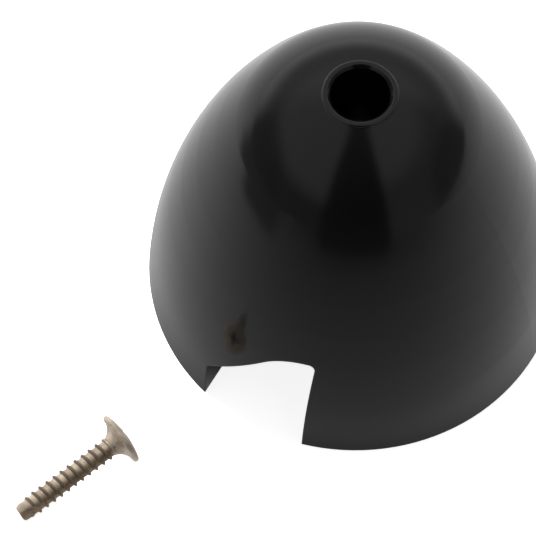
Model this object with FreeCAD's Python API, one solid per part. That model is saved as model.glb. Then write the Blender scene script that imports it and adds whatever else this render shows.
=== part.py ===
"""Propeller spinner for a model aircraft: moulded nose shell and its retaining screw.

The shell stands on its rim.  Origin: centre of the rim plane, on the spinner's axis.
+Z points to the nose, and the two propeller blades leave along -Y and +Y.  Millimetres.
"""
import FreeCAD, Part
import math
import os
from FreeCAD import Vector

# ---- Shell: outer form ---------------------------------------------------------------
RIM_RADIUS = 25.0            # outside radius at the rim
SIDE_ARC_RADIUS = 74.4       # radius of the long curve of the side
SIDE_ARC_DROP = 5.6          # centre of that curve, below the rim plane
NOSE_ARC_RADIUS = 16.4       # radius of the round nose, centred on the axis
WALL = 1.6                   # thickness of the moulded wall
LOW_SPANS = 2                # arcs that the side curve is drawn in, beside the cut-outs
HIGH_SPANS = 4               # and above them
SIDE_TAPERS = 3              # straight tapers of the inside, under the side curve
NOSE_TAPERS = 2              # and under the round nose

# ---- Shell: raised ring round the nose hole ----------------------------------------------
RING_RADIUS = 4.3
RING_HEIGHT = 0.2
RING_CHAMFER = 0.12

# ---- Shell: seat for the backplate, inside the rim -------------------------------------
REGISTER_WALL = 1.0          # wall that is left outside the seat
REGISTER_DEPTH = 1.5

# ---- Shell: screw well, on the axis ------------------------------------------------------
WELL_RADIUS = 3.4
WELL_DEPTH = 14.7            # from the nose ring to the top of the conical seat
WELL_CHAMFER = 0.35
WELL_WALL = 1.5
SEAT_DEPTH = 2.4             # height of the conical seat
SEAT_FLOOR = 3.0             # material under the seat, round the screw's hole
SCREW_CLEARANCE = 0.15       # radial room for the thread in its hole

# ---- Shell: ribs between the well and the wall -----------------------------------------
RIB_COUNT = 4
RIB_THICKNESS = 1.2
RIB_START = 1.5              # foot of each rib above the lower end of the well
RIB_RISE = 5.0               # climb of the rib's lower edge on its way to the wall

# ---- Shell: blade cut-outs -----------------------------------------------------------------
BLADE_COUNT = 2
SLOT_WIDTH = 13.4
SLOT_LOW = 6.15              # height at the side where the blade's trailing edge passes
SLOT_HIGH = 15.7             # height at the side where its leading edge passes
SLOT_SLOPE_DEG = 45.0
SLOT_LOW_RADIUS = 1.1
SLOT_CREST_RADIUS = 7.2
SLOT_CORNER_RADIUS = 0.8
LINING_WALL = 1.0            # wall that lines each cut-out, running inwards
LINING_REACH = 18.0          # from the axis to the inner edge of the lining

# ---- Retaining screw ---------------------------------------------------------------------
SCREW_LENGTH = 15.6
THREAD_RADIUS = 1.3          # crests of the thread
TIP_LENGTH = 2.1             # tapered start of the thread
TIP_TAPER = 0.35
FLUTE_RADIUS = 1.5           # round hollow that cuts the thread at the point
FLUTE_LENGTH = 3.0
FLUTE_FLOOR = 0.75           # from the screw's axis to the hollow, at the point
HEAD_RADIUS = 3.25
HEAD_RIM = 0.5               # straight edge of the head
HEAD_DOME = 0.3
HEAD_FLARE = 2.2             # height of the trumpet under the head
FLARE_TAPERS = 3             # straight tapers that the trumpet is turned in
RECESS_SPAN = 3.6            # cross recess, tip to tip
RECESS_WIDTH = 0.75
RECESS_DEPTH = 1.5

# ---- Where the screw lies, on the surface that the rim stands on ------------------------
SCREW_BEARING_DEG = -107.5   # bearing of the screw's head from the spinner's axis
SCREW_GAP = 11.6             # from the rim to the middle of the head
SCREW_TURN_DEG = 66.8        # heading of the screw, from its point to its head

OVERLAP = 1.0                # how far a cutting body runs past what it cuts


# ---- The two tangent arcs of the shell ---------------------------------------------------
def side_centre():
    reach = math.sqrt(SIDE_ARC_RADIUS ** 2 - SIDE_ARC_DROP ** 2)
    return Vector(RIM_RADIUS - reach, 0, -SIDE_ARC_DROP)


def nose_centre():
    centre = side_centre()
    spacing = SIDE_ARC_RADIUS - NOSE_ARC_RADIUS
    rise = math.sqrt(spacing ** 2 - centre.x ** 2)
    return Vector(0, 0, centre.z + rise)


def nose_height():
    """Height of the raised ring round the nose hole."""
    return nose_centre().z + math.sqrt(NOSE_ARC_RADIUS ** 2 - RING_RADIUS ** 2) + RING_HEIGHT


def polar(centre, radius, angle):
    return centre + Vector(radius * math.cos(angle), 0, radius * math.sin(angle))


def arc_between(centre, radius, start, end):
    """Arc in the XZ plane about centre, from angle start to angle end."""
    points = [polar(centre, radius, start + share * (end - start)) for share in (0, 0.5, 1)]
    return Part.Arc(*points).toShape()


def split(start, end, count):
    """The count + 1 angles that divide start to end into equal spans."""
    return [start + (end - start) * number / count for number in range(count + 1)]


def revolve(edges):
    face = Part.Face(Part.Wire(Part.__sortEdges__(edges)))
    return face.revolve(Vector(0, 0, 0), Vector(0, 0, 1), 360)


def ogive_arcs(inset, land_radius):
    """Side and nose arcs moved in by inset, each as centre, radius, start and end angle."""
    side = side_centre()
    nose = nose_centre()
    side_radius = SIDE_ARC_RADIUS - inset
    nose_radius = NOSE_ARC_RADIUS - inset
    foot = math.asin(SIDE_ARC_DROP / side_radius)
    joint = math.atan2(nose.z - side.z, nose.x - side.x)
    top = math.acos(land_radius / nose_radius)
    return (side, side_radius, foot, joint), (nose, nose_radius, joint, top)


def outer_form():
    """Solid of the shell's outside, with the raised ring on top."""
    side, nose = ogive_arcs(0, RING_RADIUS)
    above = math.asin((SLOT_HIGH + SIDE_ARC_DROP) / SIDE_ARC_RADIUS)
    angles = split(side[2], above, LOW_SPANS) + split(above, side[3], HIGH_SPANS)[1:]
    edges = [arc_between(side[0], side[1], *pair) for pair in zip(angles, angles[1:])]
    edges.append(arc_between(*nose))
    top = nose_height()
    ring = [
        polar(nose[0], nose[1], nose[3]),
        Vector(RING_RADIUS, 0, top - RING_CHAMFER),
        Vector(RING_RADIUS - RING_CHAMFER, 0, top),
    ]
    peak = Vector(0, 0, top)
    base = Vector(0, 0, 0)
    foot = polar(side[0], side[1], side[2])
    edges += Part.makePolygon(ring + [peak, base, foot]).Edges
    return revolve(edges)


def inner_form(inset):
    """Solid of the core, turned in straight tapers that follow the outside at inset."""
    side, nose = ogive_arcs(inset, WELL_RADIUS)
    points = [polar(side[0], side[1], angle) for angle in split(side[2], side[3], SIDE_TAPERS)]
    points += [polar(nose[0], nose[1], angle) for angle in split(nose[2], nose[3], NOSE_TAPERS)[1:]]
    base = Vector(0, 0, 0)
    peak = Vector(0, 0, points[-1].z)
    outline = [base] + points + [peak, base]
    return revolve(Part.makePolygon(outline).Edges)


# ---- Screw well and ribs -------------------------------------------------------------------
def seat_top():
    return nose_height() - WELL_DEPTH


def seat_bottom():
    return seat_top() - SEAT_DEPTH


def well_foot():
    return seat_bottom() - SEAT_FLOOR


def well_tube():
    height = nose_height() - well_foot()
    return Part.makeCylinder(WELL_RADIUS + WELL_WALL, height, Vector(0, 0, well_foot()))


def well_passage():
    """Everything that is open along the axis: chamfered mouth, well, conical seat, screw hole."""
    hole_radius = THREAD_RADIUS + SCREW_CLEARANCE
    mouth_radius = WELL_RADIUS + WELL_CHAMFER
    low = well_foot() - OVERLAP
    top = nose_height()
    high = top + OVERLAP
    outline = [
        Vector(0, 0, low),
        Vector(hole_radius, 0, low),
        Vector(hole_radius, 0, seat_bottom()),
        Vector(WELL_RADIUS, 0, seat_top()),
        Vector(WELL_RADIUS, 0, top - WELL_CHAMFER),
        Vector(mouth_radius, 0, top),
        Vector(mouth_radius, 0, high),
        Vector(0, 0, high),
        Vector(0, 0, low),
    ]
    return revolve(Part.makePolygon(outline).Edges)


def rib():
    """One rib in the XZ plane, on the +X side, longer than needed at its outer end."""
    low = well_foot() + RIB_START
    outline = [
        Vector(0, 0, low),
        Vector(WELL_RADIUS + WELL_WALL, 0, low),
        Vector(RIM_RADIUS, 0, low + RIB_RISE * RIM_RADIUS / (RIM_RADIUS - WELL_RADIUS)),
        Vector(RIM_RADIUS, 0, nose_height()),
        Vector(0, 0, nose_height()),
    ]
    face = Part.Face(Part.makePolygon(outline + outline[:1]))
    face.translate(Vector(0, -RIB_THICKNESS / 2, 0))
    return face.extrude(Vector(0, RIB_THICKNESS, 0))


# ---- Blade cut-outs --------------------------------------------------------------------------
def slot_outline():
    """Outline of one cut-out seen along the blade: low at -X, rising on a slope to +X."""
    half = SLOT_WIDTH / 2
    crest = -half + (SLOT_HIGH - SLOT_LOW) / math.tan(math.radians(SLOT_SLOPE_DEG))
    below = -2 * OVERLAP
    corners = [
        Vector(-half, 0, below),
        Vector(-half, 0, SLOT_LOW),
        Vector(crest, 0, SLOT_HIGH),
        Vector(half, 0, SLOT_HIGH),
        Vector(half, 0, below),
    ]
    return corners


def rounded_prism(corners, radii, length):
    """Prism on corners, run along +Y; radii maps a corner's number to its fillet."""
    prism = Part.Face(Part.makePolygon(corners + corners[:1])).extrude(Vector(0, length, 0))
    for number, radius in radii.items():
        corner = corners[number]
        for edge in prism.Edges:
            ends = [vertex.Point for vertex in edge.Vertexes]
            if all(math.hypot(end.x - corner.x, end.z - corner.z) < 1e-6 for end in ends):
                prism = prism.makeFillet(radius, [edge])
                break
    return prism


def grown(corners, distance):
    """The outline moved outwards by distance on both sides and along the top."""
    slope = math.radians(SLOT_SLOPE_DEG)
    low_rise = distance * math.tan((math.pi / 2 - slope) / 2)
    crest_shift = distance * math.tan(slope / 2)
    foot_left, low, crest, high, foot_right = corners
    return [
        foot_left + Vector(-distance, 0, 0),
        low + Vector(-distance, 0, low_rise),
        crest + Vector(-crest_shift, 0, distance),
        high + Vector(distance, 0, distance),
        foot_right + Vector(distance, 0, 0),
    ]


def slot_bodies():
    """Lining and cutting body of the cut-out on the -Y side."""
    corners = slot_outline()
    start = RIM_RADIUS + OVERLAP
    cutter_radii = {1: SLOT_LOW_RADIUS, 2: SLOT_CREST_RADIUS, 3: SLOT_CORNER_RADIUS}
    lining_radii = {number: radius + LINING_WALL for number, radius in cutter_radii.items()}
    lining = rounded_prism(grown(corners, LINING_WALL), lining_radii, start - LINING_REACH)
    cutter = rounded_prism(corners, cutter_radii, start - LINING_REACH + OVERLAP)
    for body in (lining, cutter):
        body.translate(Vector(0, -start, 0))
    return lining, cutter


def turned(shape, angle):
    copy = shape.copy()
    copy.rotate(Vector(0, 0, 0), Vector(0, 0, 1), angle)
    return copy


# ---- The two pieces ----------------------------------------------------------------------------
def spinner_shell():
    outer = outer_form()
    register = Part.makeCylinder(RIM_RADIUS - REGISTER_WALL, REGISTER_DEPTH)
    shell = outer.cut(inner_form(WALL)).cut(register)

    filling = inner_form(REGISTER_WALL / 2)
    ribs = [turned(rib(), 360 * (number + 0.5) / RIB_COUNT) for number in range(RIB_COUNT)]
    inside = [body.common(filling) for body in [well_tube()] + ribs]
    shell = shell.fuse(inside)

    lining, cutter = slot_bodies()
    angles = [360 * number / BLADE_COUNT for number in range(BLADE_COUNT)]
    linings = [turned(lining, angle).common(filling) for angle in angles]
    cutters = [turned(cutter, angle) for angle in angles]
    shell = shell.fuse(linings).cut(cutters).cut(well_passage())
    return shell.removeSplitter()


# ---- Retaining screw, on +Z with its point at the origin -------------------------------------
def head_foot():
    """Height of the lower edge of the head's straight rim."""
    return SCREW_LENGTH - HEAD_DOME - HEAD_RIM


def quarter_curve(start, end, count):
    """Points on a quarter ellipse that leaves start along the axis and meets end squarely to it."""
    points = []
    for angle in split(0, math.pi / 2, count):
        radius = start.x + (end.x - start.x) * (1 - math.cos(angle))
        height = start.z + (end.z - start.z) * math.sin(angle)
        points.append(Vector(radius, 0, height))
    return points


def screw_blank():
    """Shank and trumpet head, with a low peak on top."""
    point = [Vector(0, 0, 0), Vector(THREAD_RADIUS - TIP_TAPER, 0, 0), Vector(THREAD_RADIUS, 0, TIP_LENGTH)]
    shank_top = Vector(THREAD_RADIUS, 0, head_foot() - HEAD_FLARE)
    flare = quarter_curve(shank_top, Vector(HEAD_RADIUS, 0, head_foot()), FLARE_TAPERS)
    rim_top = Vector(HEAD_RADIUS, 0, head_foot() + HEAD_RIM)
    outline = point + flare + [rim_top, Vector(0, 0, SCREW_LENGTH)]
    return revolve(Part.makePolygon(outline + outline[:1]).Edges)


def cross_recess():
    """Tapered cross in the middle of the head."""
    top = SCREW_LENGTH + OVERLAP
    bottom = SCREW_LENGTH - RECESS_DEPTH
    spread = RECESS_SPAN / 2
    arm = Part.makeBox(RECESS_SPAN, RECESS_WIDTH, top - bottom, Vector(-spread, -RECESS_WIDTH / 2, bottom))
    cross = arm.fuse(turned(arm, 90))
    point = RECESS_WIDTH / 2
    slope = (spread - point) / RECESS_DEPTH
    cone = Part.makeCone(point, point + slope * (top - bottom), top - bottom, Vector(0, 0, bottom))
    return cross.common(cone)


def cutting_flute():
    """Sloping hollow on the -Y side of the point, which gives the thread its cutting edge."""
    slope = math.atan2(THREAD_RADIUS - FLUTE_FLOOR, FLUTE_LENGTH)
    middle = Vector(0, -FLUTE_FLOOR - FLUTE_RADIUS, 0)
    flute = Part.makeCylinder(FLUTE_RADIUS, 2 * FLUTE_LENGTH, middle - Vector(0, 0, OVERLAP))
    flute.rotate(middle, Vector(1, 0, 0), math.degrees(slope))
    return flute


def retaining_screw():
    return screw_blank().cut([cross_recess(), cutting_flute()])


def lay_down(screw):
    """Tip the screw on its side so that its head and its thread touch the surface."""
    head_at = head_foot()
    thread_at = TIP_LENGTH
    slope = math.atan2(HEAD_RADIUS - THREAD_RADIUS, head_at - thread_at)
    screw.rotate(Vector(0, 0, 0), Vector(0, 1, 0), 90 - math.degrees(slope))
    lift = HEAD_RADIUS * math.cos(slope) - head_at * math.sin(slope)
    screw.rotate(Vector(0, 0, 0), Vector(0, 0, 1), SCREW_TURN_DEG)
    bearing = math.radians(SCREW_BEARING_DEG)
    heading = math.radians(SCREW_TURN_DEG)
    reach = SCREW_LENGTH * math.cos(slope)
    away = RIM_RADIUS + SCREW_GAP
    place = Vector(
        away * math.cos(bearing) - reach * math.cos(heading),
        away * math.sin(bearing) - reach * math.sin(heading),
        lift,
    )
    screw.translate(place)
    return screw


PIECES = {
    "spinner_shell": spinner_shell,
    "retaining_screw": lambda: lay_down(retaining_screw()),
}

os.makedirs("parts", exist_ok=True)
for name, build in PIECES.items():
    shape = build()
    box = shape.BoundBox
    print(name, shape.isValid(), len(shape.Solids), round(shape.Volume, 2), box)
    shape.exportStep("parts/" + name + ".step")
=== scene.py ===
"""Finish, light and camera for a moulded propeller spinner and its retaining screw."""
import math

import bmesh
import bpy
from mathutils import Matrix, Vector


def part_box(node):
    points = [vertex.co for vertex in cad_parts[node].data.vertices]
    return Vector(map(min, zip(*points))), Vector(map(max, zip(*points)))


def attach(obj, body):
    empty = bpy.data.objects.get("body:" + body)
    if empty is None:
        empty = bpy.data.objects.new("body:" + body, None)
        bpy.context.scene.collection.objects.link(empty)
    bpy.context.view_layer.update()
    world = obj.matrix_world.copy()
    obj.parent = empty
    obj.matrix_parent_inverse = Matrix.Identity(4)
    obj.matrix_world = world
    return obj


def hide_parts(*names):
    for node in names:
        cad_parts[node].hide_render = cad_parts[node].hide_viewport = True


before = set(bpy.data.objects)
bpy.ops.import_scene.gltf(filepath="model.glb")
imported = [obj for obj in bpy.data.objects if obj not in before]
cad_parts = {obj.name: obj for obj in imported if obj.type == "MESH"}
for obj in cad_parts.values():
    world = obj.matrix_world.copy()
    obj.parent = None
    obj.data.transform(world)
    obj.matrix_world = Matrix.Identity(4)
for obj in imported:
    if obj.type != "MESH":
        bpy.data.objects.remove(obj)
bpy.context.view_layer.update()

MM = 0.001
UP = (0.0, 0.0, 1.0)

# ---- Retaining screw: shaft and thread -------------------------------------------------------
SCREW_LENGTH = 15.6 * MM
CORE_RADIUS = 1.07 * MM
CREST_RADIUS = 1.33 * MM
PITCH = 1.03 * MM
RIDGE_WIDTH = 0.62 * MM
RIDGE_TOP = 0.16 * MM
SHOULDER_SHARE = 0.36  # half width of the ridge at its shoulder, as a share of its width
SHOULDER_RISE = 0.03 * MM
FOOT_SUNK = 0.08 * MM
THREAD_RUN_OUT = 1.28 * MM
TURN_STEPS = 48

# ---- Retaining screw: point and cutting flute ------------------------------------------------
POINT_LENGTH = 2.1 * MM
POINT_TAPER = 0.35 * MM
TIP_FACE_INSET = 0.32 * MM
TIP_CORNER_INSET = 0.09 * MM
TIP_CORNER_HEIGHT = 0.12 * MM
TIP_HEIGHT = 0.4 * MM
FLUTE_LENGTH = 3.3 * MM
FLUTE_FLOOR = 0.72 * MM
FLUTE_TURN_DEG = 25.0
FLUTE_RING_GAP = 0.25 * MM
THREAD_SUNK_IN_FLUTE = 0.04 * MM

# ---- Retaining screw: head -------------------------------------------------------------------
HEAD_RADIUS = 3.28 * MM
HEAD_RIM = 0.72 * MM
HEAD_ROUNDING = 0.45 * HEAD_RIM
HEAD_DOME = 0.42 * MM
HEAD_FLARE = 1.9 * MM
FLARE_HOLLOW = 0.55 * MM
FLARE_END_RISE = 0.02 * MM
DOME_SWELL = 0.12 * MM
FLARE_STEPS = 12
RIM_STEPS = 8
DOME_STEPS = 8
RECESS_SPAN = 3.6 * MM
RECESS_WIDTH = 0.75 * MM
RECESS_DEPTH = 1.5 * MM
RECESS_STEEPNESS = 1.25

# ---- Retaining screw: how it lies and how its mesh is finished -------------------------------
SCREW_TURN_DEG = 66.8
MERGE_GAP = 0.0005 * MM
SHARP_EDGE_DEG = 38

# ---- Shell finish: black plastic -------------------------------------------------------------
PLASTIC_IOR = 1.5
PLASTIC_BLACK = (0.0035, 0.0035, 0.0037, 1)
# Painted highlight: paler black on the edges of the nose hole
EDGE_HIGHLIGHT_BLACK = (0.055, 0.055, 0.058, 1)
PLASTIC_ROUGHNESS = (0.1, 0.16)
HAZE_SPAN = (0.3, 0.75)
GRAIN_SHARE = 0.03
EDGE_SOFTNESS = 0.22 * MM
EDGE_TURN = (0.8, 0.99)
NOSE_EDGE_HEIGHTS = (37.0 * MM, 39.0 * MM)
EDGE_SAMPLES = 8

# ---- Screw finish: plated steel --------------------------------------------------------------
STEEL_METALLIC = 0.5
STEEL_DARK = (0.37, 0.30, 0.225, 1)
STEEL_PALE = (0.60, 0.51, 0.41, 1)
# Painted shade in the screw's hollows
HOLLOW_SHADE_BROWN = (0.17, 0.125, 0.085, 1)
# Painted shade on the screw's underside
UNDERSIDE_SHADE_BROWN = (0.52, 0.44, 0.35, 1)
# Painted dark reflection on the thread crests
CREST_REFLECTION_BROWN = (0.17, 0.132, 0.092, 1)
STEEL_ROUGHNESS = (0.27, 0.4)
ROUGHNESS_SPAN = (0.3, 0.7)
CLOUD_SPAN = (0.35, 0.7)
HOLLOW_REACH = 0.7 * MM
HOLLOW_SPAN = (0.4, 0.92)
CREST_START = 0.01 * MM  # above the core
CREST_END = 0.14 * MM
HEAD_TONE_START = 0.1 * MM  # above the start of the flare
HEAD_TONE_END = 0.7 * MM
UNDERSIDE_SPAN = (0.1, 0.75)
HOLLOW_SAMPLES = 8

# ---- Room: light by direction. Facing runs to the camera's side, side to its right -----------
CAMERA_SIDE_DEG = 27.7
LEFT_GLOW = (0.11, 0.36)
LEFT_HEIGHTS = (0.25, 0.55)
RIGHT_GLOW = (0.22, 0.4)
RIGHT_HEIGHTS = (0.5, 0.8)
LEFT_TO_RIGHT = (-0.2, 0.4)
OUTER_SIDES = (0.84, 0.93)
OUTER_DIMMING = 0.65
STAND_GLOW = 0.025
STAND_HALF_WIDTH = 0.36
STAND_EDGE = (0.01, 0.12)
STAND_FACING = (-0.2, 0.1)
DOME_CLEARANCE = 1.02  # keeps the root above zero straight overhead
BACK_GLOW = (0.87, 0.32)
BACK_HEIGHTS = (0.0, 0.28)
OVERHEAD_GLOW = 0.16
OVERHEAD_HEIGHTS = (0.35, 0.6)
FRONT_TO_BACK = (-0.3, -0.65)
WHITE = (1, 1, 1, 1)
WHITE_LEVEL = 1.0

# ---- Table: its paint, and what the gloss picks up from it -----------------------------------
TABLE_REACH = 1.5
TABLE_PAINT = (0.9, 0.9, 0.9, 1)
TABLE_LIFT = 0.86
TABLE_GLOW = 0.63
TABLE_SLOPE = -0.25
FRONT_LOSS = -0.13
FRONT_LOSS_FACING = (-0.1, 1.1)
FADE_DISTANCE = 0.1
FADE_POWER = (0.1, 0.29)
FADE_FACING = (-0.4, 0.2)
UNDER_SHELL_GLOW = 0.06
UNDER_SHELL_DISTANCES = (0.02, 0.029)
STAND_FOOT_GLOW = 0.03
STAND_FOOT_SIDES = (0.3, 0.5)
STAND_FOOT_FACING = (0.0, 0.3)
STAND_FOOT_DISTANCES = (0.25, 0.8)
DARK_CASE_GLOW = 0.12
DARK_CASE_DISTANCE = 0.15
DARK_CASE_SLANT = 0.12
DARK_CASE_SLANT_START = 0.2
DARK_CASE_EDGE = (-0.015, 0.02)
DARK_CASE_SIDES = (-0.72, -0.85)
DARK_CASE_FACING = (-0.45, -0.15)

# ---- Key lamp --------------------------------------------------------------------------------
KEY_PLACE = (-0.5, 0.25, 0.55)
KEY_SIZE = 0.35
KEY_POWER = 13.0

# ---- View ------------------------------------------------------------------------------------
VIEW_AIM = Vector((-8.7, -5.8, 0.0)) * MM
VIEW_AZIMUTH_DEG = 30.94
VIEW_ELEVATION_DEG = 62.65
VIEW_DISTANCE = 399.6 * MM
VIEW_ROLL_DEG = -0.48
LENS_MM = 219.6
SENSOR_MM = 36
NEAREST_SEEN = 0.01


# ---- Shader helpers --------------------------------------------------------------------------
class Shader:
    """Short hand for building a node tree."""

    def __init__(self, owner):
        owner.use_nodes = True
        self.tree = owner.node_tree
        self.tree.nodes.clear()

    def add(self, kind, **settings):
        node = self.tree.nodes.new(kind)
        for name, value in settings.items():
            setattr(node, name, value)
        return node

    def feed(self, socket, value):
        """Link another node's output, or set a plain number or colour."""
        if isinstance(value, bpy.types.NodeSocket):
            self.tree.links.new(value, socket)
        else:
            socket.default_value = value

    def place(self):
        return self.add("ShaderNodeTexCoord").outputs["Object"]

    def math(self, operation, *values):
        node = self.add("ShaderNodeMath", operation=operation)
        for socket, value in zip(node.inputs, values):
            self.feed(socket, value)
        return node.outputs[0]

    def vector_math(self, operation, *values):
        node = self.add("ShaderNodeVectorMath", operation=operation)
        for socket, value in zip(node.inputs, values):
            self.feed(socket, value)
        return node.outputs["Value"] if operation in ("DOT_PRODUCT", "LENGTH") else node.outputs[0]

    def remap(self, value, span, result):
        """Smooth change between the two results while value crosses the span."""
        node = self.add("ShaderNodeMapRange", interpolation_type="SMOOTHSTEP")
        names = ("Value", "From Min", "From Max", "To Min", "To Max")
        for name, given in zip(names, (value, *span, *result)):
            self.feed(node.inputs[name], given)
        return node.outputs["Result"]

    def rise(self, value, span):
        return self.remap(value, span, (0.0, 1.0))

    def fall(self, value, span):
        return self.remap(value, span, (1.0, 0.0))

    def mix(self, factor, first, second, kind="FLOAT", blend="MIX"):
        node = self.add("ShaderNodeMix", data_type=kind, blend_type=blend)
        for name, value in (("Factor", factor), ("A", first), ("B", second)):
            self.feed(node.inputs[name], value)
        return node.outputs["Result"]

    def mix_colours(self, factor, first, second, blend="MIX"):
        return self.mix(factor, first, second, "RGBA", blend)

    def noise(self, place, scale, detail=2.0, roughness=0.5):
        node = self.add("ShaderNodeTexNoise")
        names = ("Vector", "Scale", "Detail", "Roughness")
        for name, value in zip(names, (place, scale, detail, roughness)):
            self.feed(node.inputs[name], value)
        return node.outputs["Fac"]

    def bump(self, height, strength, distance):
        """Bump node, whose own Normal input is still free."""
        node = self.add("ShaderNodeBump")
        names = ("Height", "Strength", "Distance")
        for name, value in zip(names, (height, strength, distance)):
            self.feed(node.inputs[name], value)
        return node


def new_surface(name):
    """A material, the Shader that builds it and its still plain surface."""
    material = bpy.data.materials.new(name)
    shader = Shader(material)
    surface = shader.add("ShaderNodeBsdfPrincipled")
    output = shader.add("ShaderNodeOutputMaterial")
    shader.feed(output.inputs["Surface"], surface.outputs[0])
    return material, shader, surface


# ---- Black plastic ---------------------------------------------------------------------------
def softened_normal(shader):
    """Normal that turns gently round the shell's sharp edges."""
    node = shader.add("ShaderNodeBevel", samples=EDGE_SAMPLES)
    shader.feed(node.inputs["Radius"], EDGE_SOFTNESS)
    return node.outputs[0]


def plastic_tone(shader, place, soft_normal):
    """Black, with a painted highlight: a little paler along the edges of the nose hole."""
    true_normal = shader.add("ShaderNodeNewGeometry").outputs["Normal"]
    edge = shader.fall(shader.vector_math("DOT_PRODUCT", soft_normal, true_normal), EDGE_TURN)
    near_nose = shader.rise(shader.vector_math("DOT_PRODUCT", place, UP), NOSE_EDGE_HEIGHTS)
    # Painted highlight: the rounded edges near the nose are paler
    painted_highlight = shader.math("MULTIPLY", edge, near_nose)
    return shader.mix_colours(painted_highlight, PLASTIC_BLACK, EDGE_HIGHLIGHT_BLACK)


def black_plastic():
    """Black moulded plastic with an even gloss, slightly hazy in patches and faintly rippled."""
    material, shader, surface = new_surface("black_plastic")
    place = shader.place()
    soft_normal = softened_normal(shader)
    haze = shader.noise(place, scale=90, detail=4, roughness=0.6)
    ripple = shader.noise(place, scale=60, detail=1.5)
    grain = shader.noise(place, scale=2600)
    bump = shader.bump(shader.math("MULTIPLY_ADD", grain, GRAIN_SHARE, ripple),
                       strength=0.12, distance=0.15 * MM)
    shader.feed(bump.inputs["Normal"], soft_normal)

    shader.feed(surface.inputs["IOR"], PLASTIC_IOR)
    shader.feed(surface.inputs["Base Color"], plastic_tone(shader, place, soft_normal))
    shader.feed(surface.inputs["Roughness"], shader.remap(haze, HAZE_SPAN, PLASTIC_ROUGHNESS))
    shader.feed(surface.inputs["Normal"], bump.outputs[0])
    return material


# ---- Plated steel ----------------------------------------------------------------------------
def steel_with_hollow_shade(shader, place):
    """Cloudy warm grey, with painted shade: brown where the metal lies in a hollow."""
    clouds = shader.rise(shader.noise(place, scale=700, detail=5), CLOUD_SPAN)
    clean = shader.mix_colours(clouds, STEEL_DARK, STEEL_PALE)
    hollow = shader.add("ShaderNodeAmbientOcclusion", samples=HOLLOW_SAMPLES)
    shader.feed(hollow.inputs["Distance"], HOLLOW_REACH)
    return shader.mix_colours(shader.rise(hollow.outputs["AO"], HOLLOW_SPAN), HOLLOW_SHADE_BROWN, clean)


def screw_steel(point, axis):
    """Plated steel with painted shade in its hollows and on its underside, and a painted dark reflection
    on the thread crests.

    The places of the screw's point and axis tell the shaft, its crests and its underside apart."""
    material, shader, surface = new_surface("screw_steel")
    place = shader.place()
    arm = shader.vector_math("SUBTRACT", place, tuple(point))
    height = shader.vector_math("DOT_PRODUCT", arm, tuple(axis))
    radius = shader.vector_math("LENGTH", shader.vector_math("CROSS_PRODUCT", arm, tuple(axis)))
    on_shaft = shader.fall(height, (flare_start() + HEAD_TONE_START, flare_start() + HEAD_TONE_END))

    # Painted dark reflection: the thread crests on the shaft turn brown
    crest = shader.rise(radius, (CORE_RADIUS + CREST_START, CORE_RADIUS + CREST_END))
    # Painted shade: the shaft turns browner on its downhill side
    downhill = axis.cross(Vector(UP)).normalized()
    turned = shader.math("DIVIDE", shader.vector_math("DOT_PRODUCT", arm, tuple(downhill)), radius)
    underside = shader.math("MULTIPLY", shader.rise(turned, UNDERSIDE_SPAN), on_shaft)
    shaded_underside = shader.mix_colours(underside, steel_with_hollow_shade(shader, place), UNDERSIDE_SHADE_BROWN, "MULTIPLY")
    tone = shader.mix_colours(shader.math("MULTIPLY", crest, on_shaft), shaded_underside, CREST_REFLECTION_BROWN)

    rubbing = shader.remap(shader.noise(place, scale=1500), ROUGHNESS_SPAN, STEEL_ROUGHNESS)
    bump = shader.bump(shader.noise(place, scale=4000, detail=3), strength=0.15, distance=0.02 * MM)
    shader.feed(surface.inputs["Metallic"], STEEL_METALLIC)
    shader.feed(surface.inputs["Base Color"], tone)
    shader.feed(surface.inputs["Roughness"], rubbing)
    shader.feed(surface.inputs["Normal"], bump.outputs[0])
    return material


# ---- Retaining screw -------------------------------------------------------------------------
def wire_chain(bm, points):
    """Vertices at the points, joined one after another by edges."""
    verts = [bm.verts.new(point) for point in points]
    edges = [bm.edges.new(pair) for pair in zip(verts, verts[1:])]
    return verts, edges


def arc_points(start, end, bulge, count):
    """Points after start on a circular arc to end; bulge is its height to the left of the way."""
    first = Vector(start)
    last = Vector(end)
    half = (last - first).length / 2
    radius = (half * half + bulge * bulge) / (2 * bulge)
    left = Vector((first.y - last.y, last.x - first.x)).normalized()
    centre = (first + last) / 2 + left * (bulge - radius)
    sweep = 4 * math.atan(bulge / half)
    turns = [Matrix.Rotation(-sweep * number / count, 2) for number in range(1, count + 1)]
    return [tuple(centre + turn @ (first - centre)) for turn in turns]


def head_foot():
    """Height of the underside of the head's rim above the screw's tip."""
    return SCREW_LENGTH - HEAD_DOME - HEAD_RIM


def flare_start():
    """Height where the shaft begins to widen into the head."""
    return head_foot() - HEAD_FLARE


def shaft_outline():
    """Radius and height from the tip to the flare, with a ring at each gap along the flute."""
    outline = [(0, 0), (CORE_RADIUS - TIP_FACE_INSET, 0),
               (CORE_RADIUS - TIP_CORNER_INSET, TIP_CORNER_HEIGHT)]
    rings = round(FLUTE_LENGTH / FLUTE_RING_GAP)
    outline += [(CORE_RADIUS, TIP_HEIGHT + FLUTE_LENGTH * number / rings)
                for number in range(rings + 1)]
    outline.append((CORE_RADIUS, flare_start()))
    return outline


def head_outline(start):
    """Radius and height from the end of the shaft up the hollow flare and over rim and dome."""
    rim_low = (HEAD_RADIUS - HEAD_ROUNDING, head_foot() + FLARE_END_RISE)
    rim_high = (HEAD_RADIUS - HEAD_ROUNDING, head_foot() + HEAD_RIM)
    flare = arc_points(start, rim_low, FLARE_HOLLOW, FLARE_STEPS)
    rim = arc_points(rim_low, rim_high, -HEAD_ROUNDING, RIM_STEPS)
    dome = arc_points(rim_high, (0, SCREW_LENGTH), -DOME_SWELL, DOME_STEPS)
    return flare + rim + dome


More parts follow.
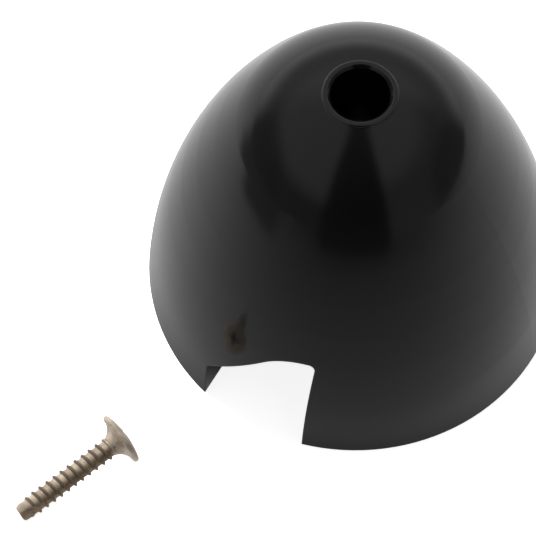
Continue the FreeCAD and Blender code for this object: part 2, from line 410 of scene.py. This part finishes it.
def turn_core(bm):
    """Shaft and head, turned in one piece round the screw's axis."""
    outline = shaft_outline()
    outline += head_outline(outline[-1])
    verts, edges = wire_chain(bm, [(radius, 0, height) for radius, height in outline])
    bmesh.ops.spin(bm, geom=verts + edges, cent=(0, 0, 0), axis=UP, angle=2 * math.pi,
                   steps=TURN_STEPS, use_merge=True, use_duplicate=False)


def ridge_section():
    """Radius and height round the thread's section, its foot sunk into the core."""
    foot = CORE_RADIUS - FOOT_SUNK
    shoulder = CORE_RADIUS + SHOULDER_RISE
    return [
        (foot, -RIDGE_WIDTH / 2),
        (shoulder, -RIDGE_WIDTH * SHOULDER_SHARE),
        (CREST_RADIUS, -RIDGE_TOP / 2),
        (CREST_RADIUS, RIDGE_TOP / 2),
        (shoulder, RIDGE_WIDTH * SHOULDER_SHARE),
        (foot, RIDGE_WIDTH / 2),
    ]


def wind_thread(bm):
    """The ridge wound up the core until it runs out in the flare, closed at both ends."""
    start = RIDGE_WIDTH / 2
    turns = (flare_start() + THREAD_RUN_OUT - start) / PITCH
    steps = round(turns * TURN_STEPS)
    verts = [bm.verts.new((radius, 0, start + height)) for radius, height in ridge_section()]
    edges = [bm.edges.new(pair) for pair in zip(verts, verts[1:] + verts[:1])]
    bm.faces.new(verts)
    result = bmesh.ops.spin(bm, geom=verts + edges, cent=(0, 0, 0), axis=UP,
                            dvec=(0, 0, turns * PITCH / steps), angle=2 * math.pi * turns,
                            steps=steps, use_duplicate=False)
    last = [item for item in result["geom_last"] if isinstance(item, bmesh.types.BMEdge)]
    bmesh.ops.contextual_create(bm, geom=last)


def taper_point(bm):
    """Draw the thread in towards the tip, and with it the last of the core."""
    for vert in bm.verts:
        radius = math.hypot(vert.co.x, vert.co.y)
        share = max(0.0, vert.co.z / POINT_LENGTH)
        limit = CREST_RADIUS - POINT_TAPER * (1 - share)
        if radius > limit and share < 1.0:
            vert.co.x *= limit / radius
            vert.co.y *= limit / radius


def cut_flute(verts, sunk=0.0):
    """Sloping flat on one side of the point, which gives the thread its cutting edge."""
    turn = math.radians(FLUTE_TURN_DEG)
    out = Vector((-math.sin(turn), -math.cos(turn), 0))
    for vert in verts:
        limit = FLUTE_FLOOR + (CREST_RADIUS - FLUTE_FLOOR) * vert.co.z / FLUTE_LENGTH - sunk
        excess = vert.co.dot(out) - limit
        if vert.co.z < FLUTE_LENGTH and excess > 0:
            vert.co -= out * excess


def press_recess(bm):
    """Cross recess in the crown, deepest in the middle and shallower towards the arms' ends."""
    reach = RECESS_SPAN / 2
    for vert in bm.verts:
        if vert.co.z < head_foot() + HEAD_RIM:
            continue
        across = min(abs(vert.co.x), abs(vert.co.y))
        along = max(abs(vert.co.x), abs(vert.co.y))
        if across < RECESS_WIDTH / 2 and along < reach:
            vert.co.z -= RECESS_DEPTH * min(1.0, RECESS_STEEPNESS * (1 - along / reach))


def standing_screw():
    """The whole screw upright on its tip, as one closed core and one closed ridge."""
    bm = bmesh.new()
    turn_core(bm)
    core_count = len(bm.verts)
    wind_thread(bm)
    taper_point(bm)
    bm.verts.ensure_lookup_table()
    cut_flute(bm.verts[:core_count])
    cut_flute(bm.verts[core_count:], THREAD_SUNK_IN_FLUTE)
    press_recess(bm)
    bmesh.ops.remove_doubles(bm, verts=bm.verts, dist=MERGE_GAP)
    bmesh.ops.recalc_face_normals(bm, faces=bm.faces)
    return bm


def lying_turn():
    """Rotation of the screw that lies on its head and its thread."""
    slope = math.atan2(HEAD_RADIUS - CREST_RADIUS, head_foot() - POINT_LENGTH)
    tip_over = Matrix.Rotation(math.pi / 2 - slope, 4, "Y")
    return Matrix.Rotation(math.radians(SCREW_TURN_DEG), 4, "Z") @ tip_over


def lay_down(bm):
    """Tip the screw over where its solid lies; gives the place of its tip and its axis."""
    turn = lying_turn()
    bm.transform(turn)
    low = Vector([min(vert.co[axis] for vert in bm.verts) for axis in range(3)])
    high = Vector([max(vert.co[axis] for vert in bm.verts) for axis in range(3)])
    cad_low, cad_high = (Vector(corner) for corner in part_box("retaining_screw"))
    shift = (cad_low + cad_high - low - high) / 2
    shift.z = cad_low.z - low.z
    bmesh.ops.translate(bm, verts=bm.verts, vec=shift)
    return shift, turn.to_3x3() @ Vector(UP)


def threaded_screw():
    """The screw with its thread, in place of its plain solid."""
    bm = standing_screw()
    point, axis = lay_down(bm)
    mesh = bpy.data.meshes.new("threaded_screw")
    bm.to_mesh(mesh)
    bm.free()
    mesh.polygons.foreach_set("use_smooth", [True] * len(mesh.polygons))
    mesh.set_sharp_from_angle(angle=math.radians(SHARP_EDGE_DEG))
    mesh.materials.append(screw_steel(point, axis))
    screw = bpy.data.objects.new("threaded_screw", mesh)
    bpy.context.scene.collection.objects.link(screw)
    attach(screw, "root")
    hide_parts("retaining_screw")


# ---- Shell -----------------------------------------------------------------------------------
def finish_shell():
    """The moulded shell keeps its own shape and gets its plastic."""
    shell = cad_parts["spinner_shell"]
    shell.data.materials.clear()
    shell.data.materials.append(black_plastic())


# ---- Room ------------------------------------------------------------------------------------
def camera_side():
    """Level direction from the spinner's axis to the camera."""
    azimuth = math.radians(CAMERA_SIDE_DEG)
    return Vector((math.sin(azimuth), -math.cos(azimuth), 0))


def right_side():
    """Level direction to the right, as the camera sees it."""
    ahead = camera_side()
    return Vector((-ahead.y, ahead.x, 0))


def front_light(shader, side, height):
    """Glow on the camera's side: it brightens upwards, later on the right, and dims far aside."""
    left = shader.remap(height, LEFT_HEIGHTS, LEFT_GLOW)
    right = shader.remap(height, RIGHT_HEIGHTS, RIGHT_GLOW)
    glow = shader.mix(shader.rise(side, LEFT_TO_RIGHT), left, right)
    aside = shader.math("ABSOLUTE", side)
    return shader.math("MULTIPLY", glow, shader.remap(aside, OUTER_SIDES, (1.0, OUTER_DIMMING)))


def dark_stand(shader, facing, side, height):
    """Upright stand on the camera's side, which narrows towards the point overhead."""
    level = shader.math("SUBTRACT", DOME_CLEARANCE, shader.math("MULTIPLY", height, height))
    half_width = shader.math("MULTIPLY", shader.math("SQRT", level), STAND_HALF_WIDTH)
    beyond = shader.math("SUBTRACT", shader.math("ABSOLUTE", side), half_width)
    return shader.math("MULTIPLY", shader.fall(beyond, STAND_EDGE), shader.rise(facing, STAND_FACING))


def back_light(shader, height):
    """Glow behind the object: bright low down, pale overhead."""
    low = shader.remap(height, BACK_HEIGHTS, BACK_GLOW)
    high = shader.remap(height, OVERHEAD_HEIGHTS, (0.0, OVERHEAD_GLOW))
    return shader.math("ADD", low, high)


def room_light(shader, direction):
    """Light of the room by direction: bright low behind, dim in front, pale overhead."""
    facing = shader.vector_math("DOT_PRODUCT", direction, tuple(camera_side()))
    side = shader.vector_math("DOT_PRODUCT", direction, tuple(right_side()))
    height = shader.vector_math("DOT_PRODUCT", direction, UP)
    front = front_light(shader, side, height)
    front = shader.mix(dark_stand(shader, facing, side, height), front, STAND_GLOW)
    return shader.mix(shader.rise(facing, FRONT_TO_BACK), front, back_light(shader, height))


def surroundings():
    """The room's light, plain white to the eye."""
    world = bpy.data.worlds.new("studio")
    bpy.context.scene.world = world
    shader = Shader(world)
    direction = shader.add("ShaderNodeTexCoord").outputs["Generated"]
    path = shader.add("ShaderNodeLightPath")
    output = shader.add("ShaderNodeOutputWorld")
    light = shader.add("ShaderNodeBackground")
    glow = shader.mix(path.outputs["Is Camera Ray"], room_light(shader, direction), WHITE_LEVEL)
    shader.feed(light.inputs["Color"], WHITE)
    shader.feed(light.inputs["Strength"], glow)
    shader.feed(output.inputs["Surface"], light.outputs[0])


# ---- Table -----------------------------------------------------------------------------------
def open_table(shader, facing, distance):
    """Glow of the bare table: it fades with distance, sooner on the camera's side.

    Under the shell it is dark."""
    glow = shader.math("MULTIPLY_ADD", facing, TABLE_SLOPE, TABLE_GLOW)
    glow = shader.math("ADD", glow, shader.remap(facing, FRONT_LOSS_FACING, (0.0, FRONT_LOSS)))
    power = shader.remap(facing, FADE_FACING, FADE_POWER)
    fading = shader.math("POWER", shader.math("DIVIDE", FADE_DISTANCE, distance), power)
    glow = shader.math("MULTIPLY", glow, fading)
    shade = shader.remap(distance, UNDER_SHELL_DISTANCES, (UNDER_SHELL_GLOW, 1.0))
    return shader.math("MULTIPLY", glow, shade)


def stand_foot(shader, facing, side, distance):
    """Where the stand comes down to the table."""
    across = shader.fall(shader.math("ABSOLUTE", side), STAND_FOOT_SIDES)
    ahead = shader.math("MULTIPLY", shader.rise(facing, STAND_FOOT_FACING),
                        shader.rise(distance, STAND_FOOT_DISTANCES))
    return shader.math("MULTIPLY", across, ahead)


def dark_case(shader, facing, side, distance):
    """Dark thing that stands on the left of the table, its near edge at a slant."""
    slant = shader.math("MAXIMUM", shader.math("SUBTRACT", facing, DARK_CASE_SLANT_START), 0.0)
    near_edge = shader.math("MULTIPLY_ADD", slant, DARK_CASE_SLANT, DARK_CASE_DISTANCE)
    past = shader.math("SUBTRACT", distance, near_edge)
    case = shader.math("MULTIPLY", shader.rise(past, DARK_CASE_EDGE), shader.rise(side, DARK_CASE_SIDES))
    return shader.math("MULTIPLY", case, shader.rise(facing, DARK_CASE_FACING))


def table_gloss(shader, place):
    """What the gloss picks up from the table."""
    level = shader.vector_math("NORMALIZE", place)
    facing = shader.vector_math("DOT_PRODUCT", level, tuple(camera_side()))
    side = shader.vector_math("DOT_PRODUCT", level, tuple(right_side()))
    distance = shader.vector_math("LENGTH", place)
    glow = open_table(shader, facing, distance)
    glow = shader.mix(stand_foot(shader, facing, side, distance), glow, STAND_FOOT_GLOW)
    return shader.mix(dark_case(shader, facing, side, distance), glow, DARK_CASE_GLOW)


def table_surface():
    """White table to the eye, with a faint shadow, and its own glow to the gloss."""
    material = bpy.data.materials.new("table")
    shader = Shader(material)
    paint = shader.add("ShaderNodeBsdfDiffuse")
    shader.feed(paint.inputs["Color"], TABLE_PAINT)
    lift = shader.add("ShaderNodeEmission")
    shader.feed(lift.inputs["Strength"], TABLE_LIFT)
    seen = shader.add("ShaderNodeAddShader")
    shader.feed(seen.inputs[0], paint.outputs[0])
    shader.feed(seen.inputs[1], lift.outputs[0])
    mirrored = shader.add("ShaderNodeEmission")
    shader.feed(mirrored.inputs["Strength"], table_gloss(shader, shader.place()))

    path = shader.add("ShaderNodeLightPath")
    choose = shader.add("ShaderNodeMixShader")
    shader.feed(choose.inputs[0], path.outputs["Is Glossy Ray"])
    shader.feed(choose.inputs[1], seen.outputs[0])
    shader.feed(choose.inputs[2], mirrored.outputs[0])
    output = shader.add("ShaderNodeOutputMaterial")
    shader.feed(output.inputs["Surface"], choose.outputs[0])
    return material


def lay_table():
    """Flat square table under the object."""
    bm = bmesh.new()
    bmesh.ops.create_grid(bm, x_segments=1, y_segments=1, size=TABLE_REACH)
    mesh = bpy.data.meshes.new("table")
    bm.to_mesh(mesh)
    bm.free()
    mesh.materials.append(table_surface())
    sheet = bpy.data.objects.new("table", mesh)
    bpy.context.scene.collection.objects.link(sheet)


# ---- Lamp and camera -------------------------------------------------------------------------
def hang_key_lamp():
    """Soft round lamp behind on the left, unseen by the gloss."""
    data = bpy.data.lights.new("key", "AREA")
    data.shape = "DISK"
    data.size = KEY_SIZE
    data.energy = KEY_POWER
    light = bpy.data.objects.new("key", data)
    light.location = KEY_PLACE
    light.rotation_euler = (-Vector(KEY_PLACE)).to_track_quat("-Z", "Y").to_euler()
    bpy.context.scene.collection.objects.link(light)
    light.visible_glossy = False


def set_camera():
    """Long lens high above, in front and on the right."""
    azimuth = math.radians(VIEW_AZIMUTH_DEG)
    elevation = math.radians(VIEW_ELEVATION_DEG)
    level = Vector((math.sin(azimuth), -math.cos(azimuth), 0)) * math.cos(elevation)
    outward = level + Vector((0, 0, math.sin(elevation)))
    data = bpy.data.cameras.new("camera")
    data.lens = LENS_MM
    data.sensor_width = SENSOR_MM
    data.clip_start = NEAREST_SEEN
    camera = bpy.data.objects.new("camera", data)
    roll = Matrix.Rotation(math.radians(VIEW_ROLL_DEG), 3, "Z").to_quaternion()
    camera.location = VIEW_AIM + outward * VIEW_DISTANCE
    camera.rotation_euler = ((-outward).to_track_quat("-Z", "Y") @ roll).to_euler()
    bpy.context.scene.collection.objects.link(camera)
    bpy.context.scene.camera = camera


def main():
    """Dress the two pieces, then set up table, light and camera."""
    finish_shell()
    threaded_screw()
    lay_table()
    surroundings()
    hang_key_lamp()
    set_camera()
    bpy.context.scene.view_settings.view_transform = "Standard"


main()
